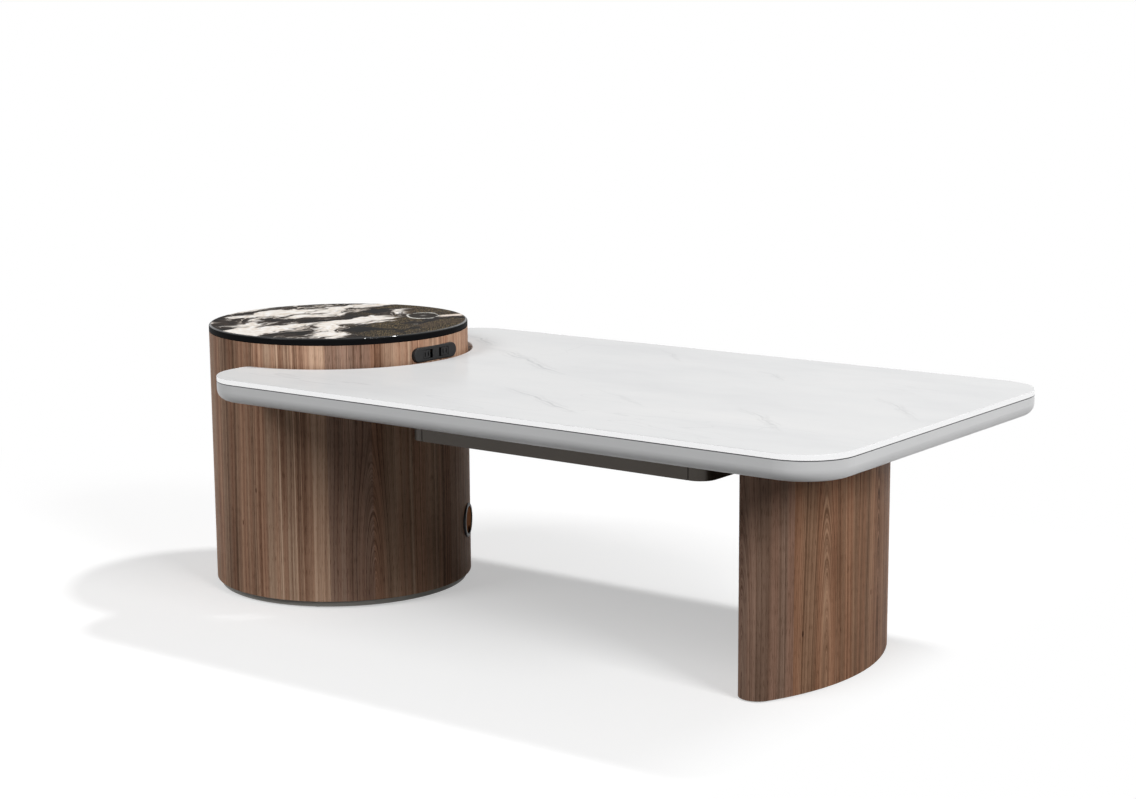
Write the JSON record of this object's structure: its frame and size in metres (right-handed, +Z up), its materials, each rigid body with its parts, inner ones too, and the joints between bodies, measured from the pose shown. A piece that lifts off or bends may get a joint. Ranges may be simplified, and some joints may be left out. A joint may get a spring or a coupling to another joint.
{
  "type": "tea table",
  "caption": "Low tea table: round walnut cabinet with a dark hob disc, long white stone top notched round it, lens-shaped leg, shallow drawer under the top.",
  "frame": {"origin": "on the floor, under the middle of the table's bounding box", "axes": "+X along the top from the round cabinet to the leg, +Z up, the drawer opens towards -Y"},
  "size_m": [1.406, 0.7, 0.46],
  "materials": {
    "white_stone": "polished white sintered stone with faint grey veins",
    "grey_lacquer": "satin light grey lacquer on board",
    "walnut": "open-pored walnut veneer, grain upright, matt oil finish",
    "dark_marble": "glossy black and brown marble pattern with white veins",
    "plinth_grey": "matt grey",
    "bronze_lacquer": "satin bronze-grey lacquer on board",
    "raw_board": "plain wood board",
    "drawer_board": "matt grey melamine on board",
    "black_steel": "black powder coat",
    "zinc_steel": "bright zinc plate",
    "glide_rubber": "plain",
    "insulation": "pressed fibre",
    "copper": "copper wire",
    "black_plastic": "fine matt",
    "circuit_green": "solder mask",
    "sink_aluminium": "extruded",
    "contact_brass": "stamped",
    "brown_plastic": "satin dark brown"
  },
  "bodies": {
    "table": {"stone_top": "white_stone", "top_base": "grey_lacquer", "under_panel": "grey_lacquer", "cabinet_wall": "walnut", "leg_shell": "walnut", "hob_disc": "dark_marble", "cabinet_plinth": "plinth_grey", "case_sides": "bronze_lacquer", "case_back": "bronze_lacquer", "case_top": "bronze_lacquer", "case_floor": "bronze_lacquer", "cabinet_floor": "raw_board", "hob_board": "raw_board", "board_cleats": "raw_board", "leg_top_block": "raw_board", "leg_bottom_block": "raw_board", "leg_ribs": "raw_board", "top_frame": "black_steel", "cabinet_bracket": "black_steel", "bracket_backing": "black_steel", "leg_top_plate": "black_steel", "panel_screws": "zinc_steel", "wall_bolts": "zinc_steel", "wall_nuts": "zinc_steel", "bracket_bolts": "zinc_steel", "leg_bolts": "zinc_steel", "case_screws": "zinc_steel", "runner_outer": "zinc_steel", "runner_case_screws": "zinc_steel", "hob_tray": "zinc_steel", "hob_tray_screws": "zinc_steel", "leg_glides": "glide_rubber", "cabinet_glides": "glide_rubber", "heat_pads": "insulation", "induction_coils": "copper", "coil_carriers": "black_plastic", "fan_frame": "black_plastic", "socket_bezel": "black_plastic", "socket_cores": "black_plastic", "socket_box": "black_plastic", "cable_grommet": "black_plastic", "control_board": "circuit_green", "heat_sink": "sink_aluminium", "socket_contacts": "contact_brass", "grommet_cap": "brown_plastic"},
    "drawer": {"drawer_front": "bronze_lacquer", "drawer_inner_front": "drawer_board", "drawer_sides": "drawer_board", "drawer_back": "drawer_board", "drawer_bottom": "drawer_board", "drawer_front_screws": "zinc_steel", "runner_inner": "zinc_steel", "runner_drawer_screws": "zinc_steel"},
    "drawer_runner": {"runner_middle": "zinc_steel"},
    "fan": {"fan_rotor": "black_plastic"}
  },
  "joints": [
    {"name": "drawer_slide", "type": "slide", "parent": "table", "child": "drawer", "axis": [0, -1, 0], "range_m": [0, 0.28]},
    {"name": "runner_slide", "type": "slide", "parent": "table", "child": "drawer_runner", "axis": [0, -1, 0], "range_m": [0, 0.14]},
    {"name": "fan_spin", "type": "hinge", "parent": "table", "child": "fan", "pos_m": [-0.5401, 0, 0.4], "axis": [0, 0, 1], "continuous": true}
  ],
  "couplings": [
    {"joint": "runner_slide", "follows": "drawer_slide", "ratio": 0.5}
  ]
}
